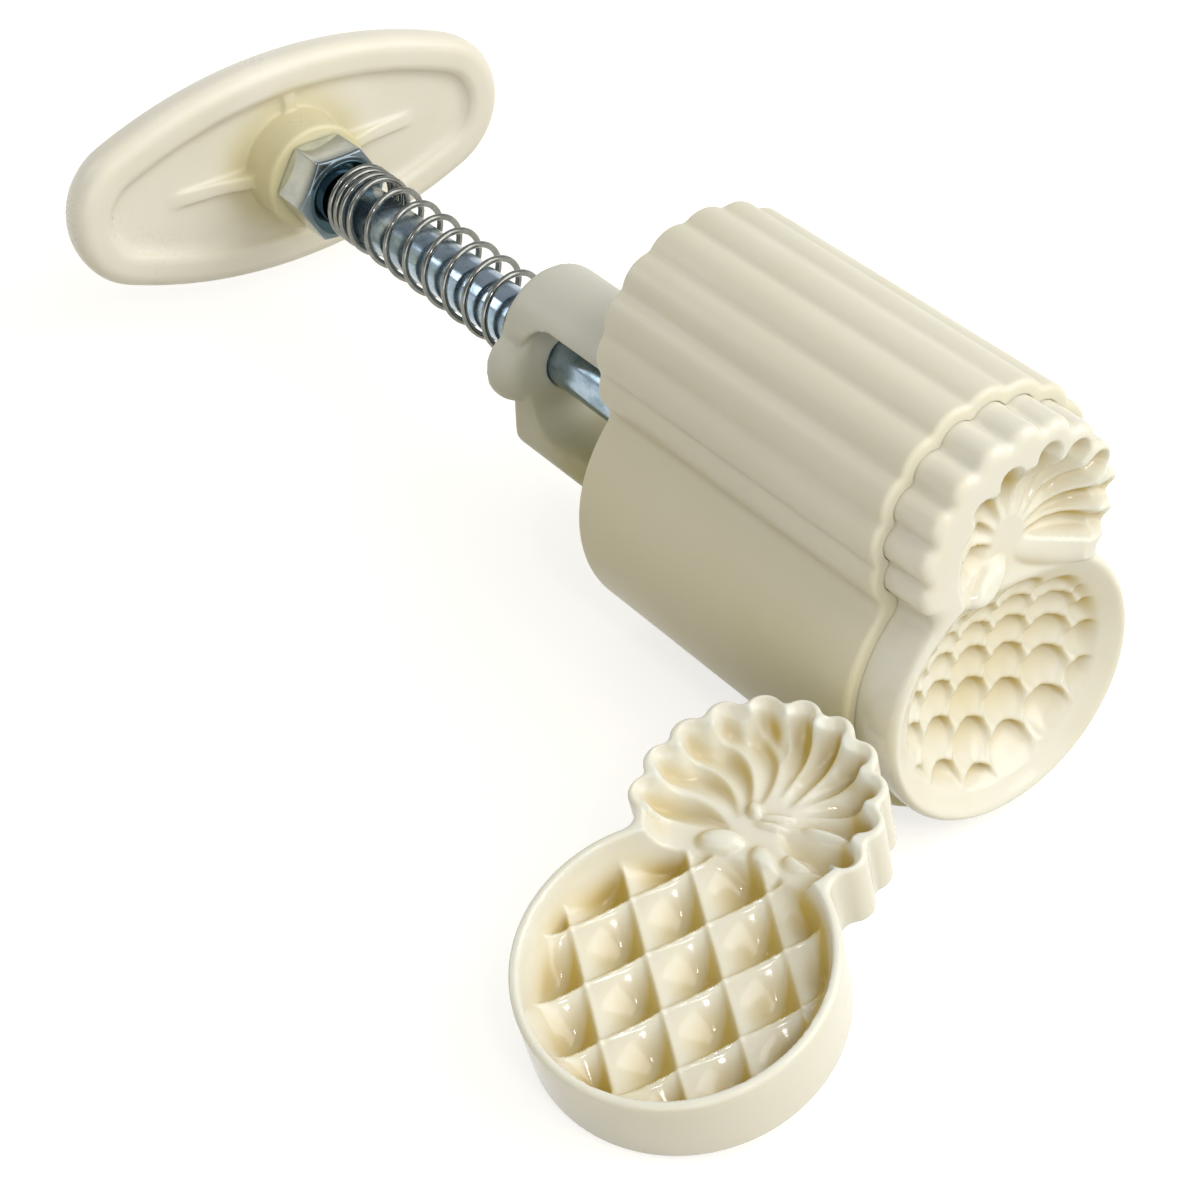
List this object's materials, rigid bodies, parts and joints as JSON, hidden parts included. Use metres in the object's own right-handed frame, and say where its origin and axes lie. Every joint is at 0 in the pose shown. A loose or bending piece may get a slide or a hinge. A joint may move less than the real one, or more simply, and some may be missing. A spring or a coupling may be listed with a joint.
{
  "type": "plunger cutter",
  "caption": "Hand press that cuts and stamps pineapple-shaped pastries: scalloped barrel, sprung plunger with an oval handle, patterned stamp and a spare.",
  "frame": {"origin": "on the plunger's axis, in the plane of the barrel's cutting rim", "axes": "+Y back along the plunger's axis to the push handle, +Z from the pineapple's body to its crown, +X to the right as seen from the rim"},
  "size_m": [0.1114, 0.1972, 0.0588],
  "materials": {
    "barrel": "glossy moulded ivory plastic",
    "guide_bridge": "moulded ivory plastic, a little greyer",
    "piston": "moulded ivory plastic",
    "honeycomb_stamp": "glossy translucent ivory plastic",
    "lattice_stamp": "glossy translucent ivory plastic",
    "handle": "glossy moulded ivory plastic",
    "bolt": "blue-white zinc plate",
    "lock_nut": "bright zinc plate",
    "return_spring": "bright spring wire"
  },
  "bodies": {
    "barrel": {"barrel": "barrel", "guide_bridge": "guide_bridge", "return_spring": "return_spring"},
    "plunger": {"piston": "piston", "bolt": "bolt", "lock_nut": "lock_nut", "handle": "handle"},
    "mounted_stamp": {"honeycomb_stamp": "honeycomb_stamp"},
    "spare_stamp": {"lattice_stamp": "lattice_stamp"}
  },
  "joints": [
    {"name": "plunger_slide", "type": "slide", "parent": "barrel", "child": "plunger", "axis": [0, -1, 0], "range_m": [-0.02, 0.025], "stiffness_N_per_m": 400, "deforming": ["return_spring"]},
    {"name": "stamp_pull", "type": "slide", "parent": "plunger", "child": "mounted_stamp", "axis": [0, -1, 0], "range_m": [0, 0.01]},
    {"name": "spare_lift", "type": "slide", "parent": "barrel", "child": "spare_stamp", "axis": [0, 0, 1], "range_m": [0, 0.06]}
  ]
}
